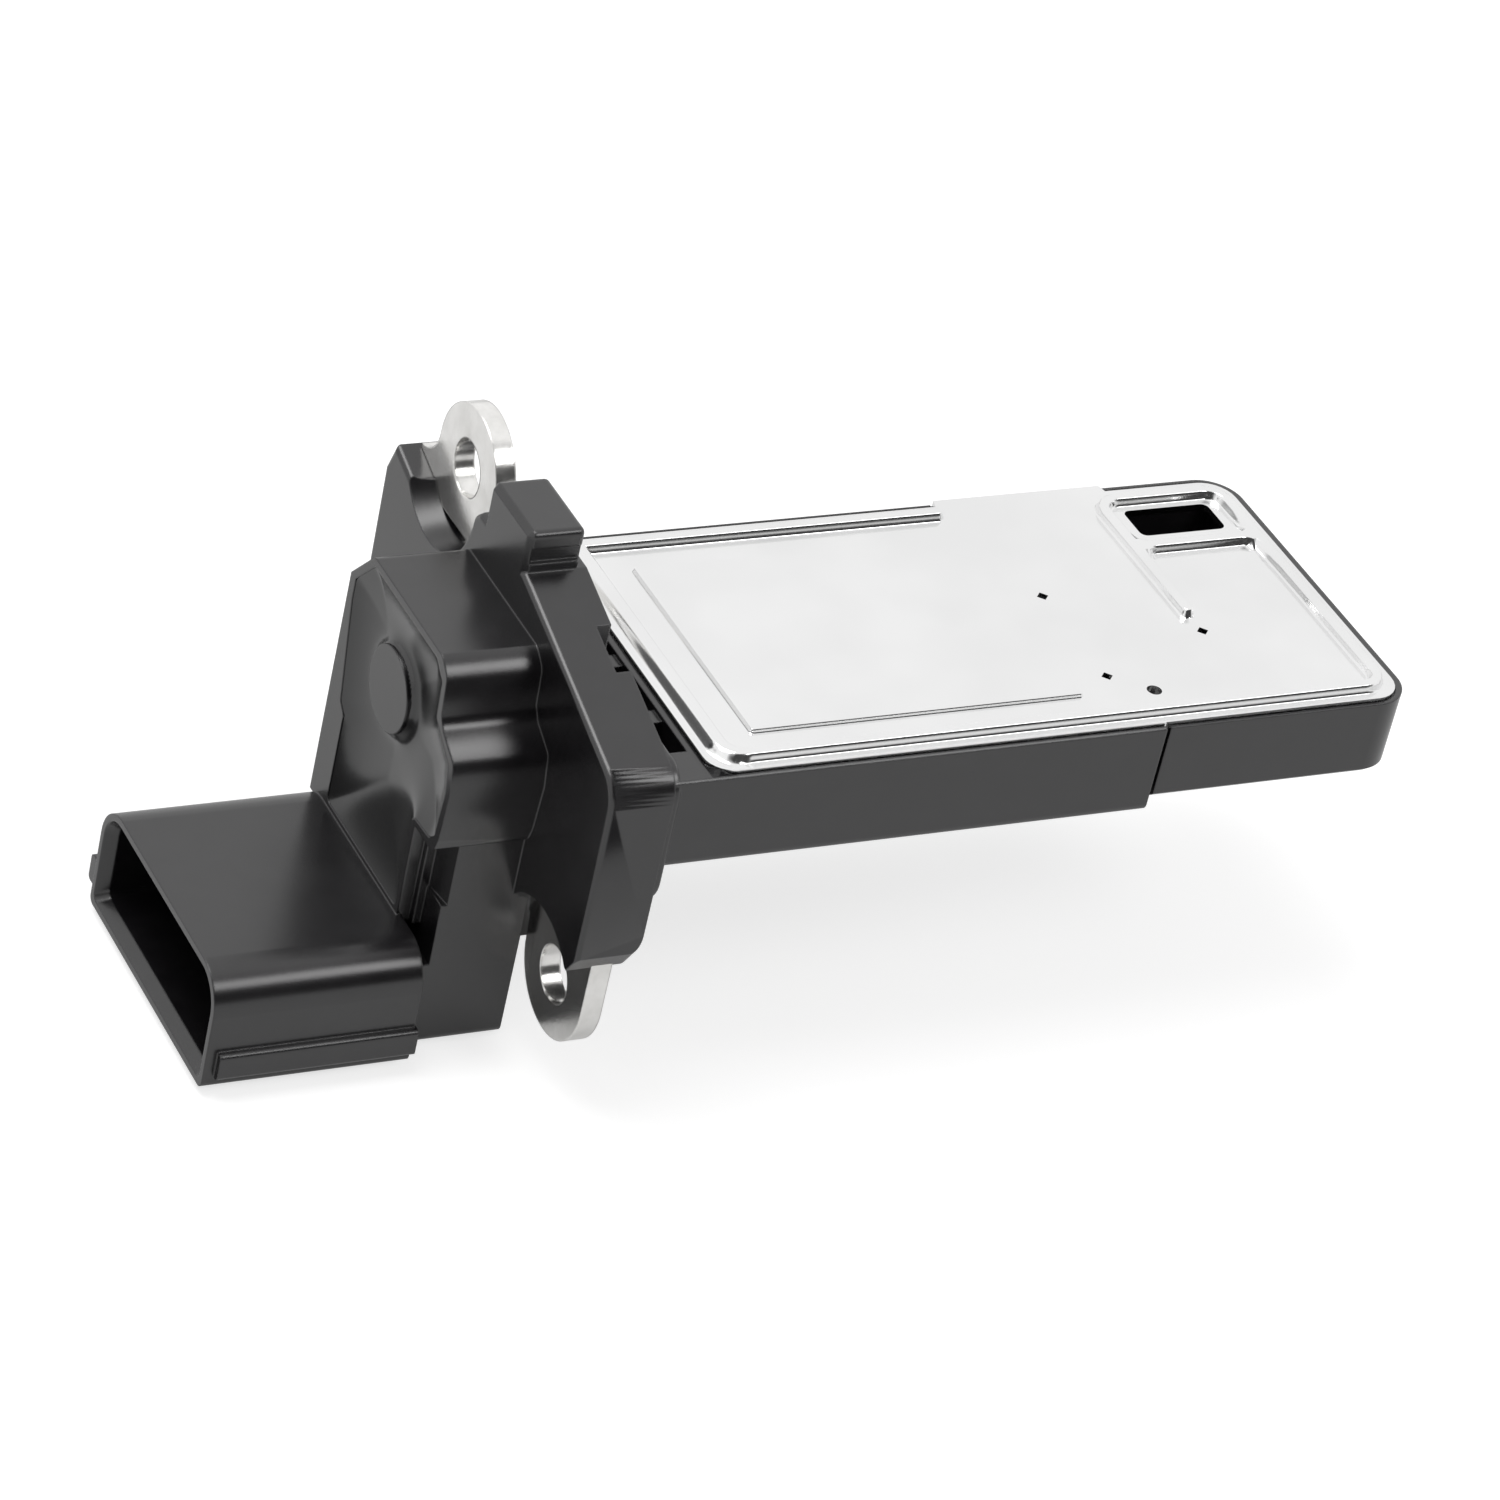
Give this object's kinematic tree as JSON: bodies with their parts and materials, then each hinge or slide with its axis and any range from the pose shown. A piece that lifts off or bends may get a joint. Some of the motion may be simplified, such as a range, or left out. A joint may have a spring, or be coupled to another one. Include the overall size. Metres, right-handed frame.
{
  "type": "mass airflow sensor",
  "caption": "Plug-in mass airflow sensor: flat probe under a metal plate with an outlet window, flange with two screw ears, and a side plug socket.",
  "frame": {"origin": "midway between the centres of the two screw holes, on the seating face of the ears", "axes": "+X along the probe to its tip, +Y to the far side of the probe, +Z out of the metal base plate"},
  "size_m": [0.0944, 0.0423, 0.0402],
  "materials": {
    "black_plastic": "satin moulded, glass-filled",
    "ear_steel": "zinc-plated, satin",
    "plate_aluminium": "satin sheet",
    "black_potting": "glossy cured epoxy",
    "board_ceramic": "matt alumina",
    "grey_adhesive": "matt silicone",
    "black_epoxy": "matt",
    "capacitor_ceramic": "matt",
    "resistor_film": "matt",
    "carrier_plastic": "matt",
    "silicon": "polished",
    "wire_aluminium": "bright",
    "tinned_brass": "tinned, satin"
  },
  "bodies": {
    "root": {"sensor_body": "black_plastic", "mounting_plate": "ear_steel", "bypass_housing": "black_plastic", "base_plate": "plate_aluminium", "circuit_cover": "black_plastic", "potting_compound": "black_potting", "circuit_board": "board_ceramic", "board_adhesive": "grey_adhesive", "processor_chip": "black_epoxy", "ceramic_capacitors": "capacitor_ceramic", "chip_resistors": "resistor_film", "chip_carrier": "carrier_plastic", "flow_chip": "silicon", "plate_sealant": "grey_adhesive", "bond_wires": "wire_aluminium", "terminal_1": "tinned_brass", "terminal_2": "tinned_brass", "terminal_3": "tinned_brass", "terminal_4": "tinned_brass", "terminal_5": "tinned_brass"}
  },
  "joints": []
}
